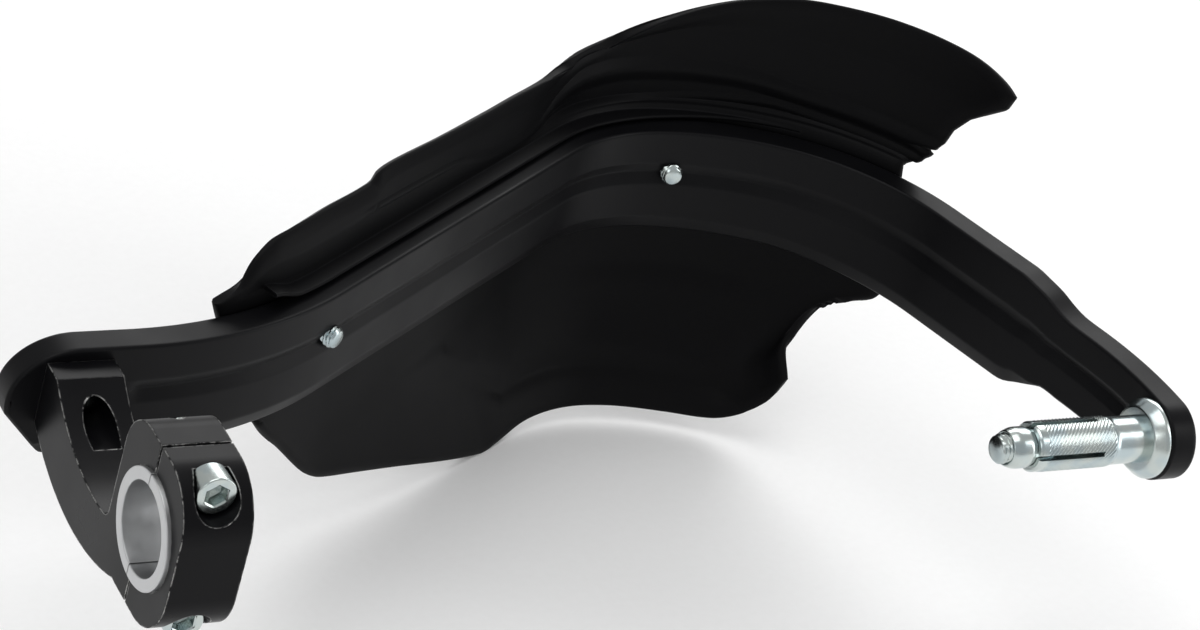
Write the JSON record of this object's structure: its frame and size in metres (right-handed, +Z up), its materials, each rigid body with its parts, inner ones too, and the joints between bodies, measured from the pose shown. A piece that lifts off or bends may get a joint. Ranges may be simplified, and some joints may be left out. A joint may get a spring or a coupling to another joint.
{
  "type": "motorcycle hand guard",
  "caption": "Right-hand motorcycle hand guard: a bent flat bar from a handlebar clamp to an expanding bar-end plug, with a winged wind shield on its front.",
  "frame": {"origin": "on the handlebar's axis, in the middle of the clamp", "axes": "+X outboard along the handlebar, +Y to the front of the motorcycle, +Z up, square to the guard bar's flat edges"},
  "size_m": [0.3188, 0.1867, 0.1373],
  "materials": {
    "black_anodised_aluminium": "satin black anodised",
    "black_plastic": "satin moulded, black",
    "bare_aluminium": "turned, bare",
    "zinc_plated_steel": "bright zinc plated"
  },
  "bodies": {
    "root": {"guard_bar": "black_anodised_aluminium", "shield": "black_plastic", "mount_arm": "black_anodised_aluminium", "clamp_cap": "black_anodised_aluminium", "bush_front": "bare_aluminium", "bush_rear": "bare_aluminium", "clamp_screw_upper": "zinc_plated_steel", "clamp_screw_lower": "zinc_plated_steel", "arm_bolt": "zinc_plated_steel", "arm_bolt_washer": "zinc_plated_steel", "plug_collar": "zinc_plated_steel", "plug_sleeve": "zinc_plated_steel", "plug_cone": "zinc_plated_steel", "plug_bolt": "zinc_plated_steel", "shield_screw_inner": "zinc_plated_steel", "shield_screw_outer": "zinc_plated_steel", "shield_washer_inner": "zinc_plated_steel", "shield_washer_outer": "zinc_plated_steel"}
  },
  "joints": []
}
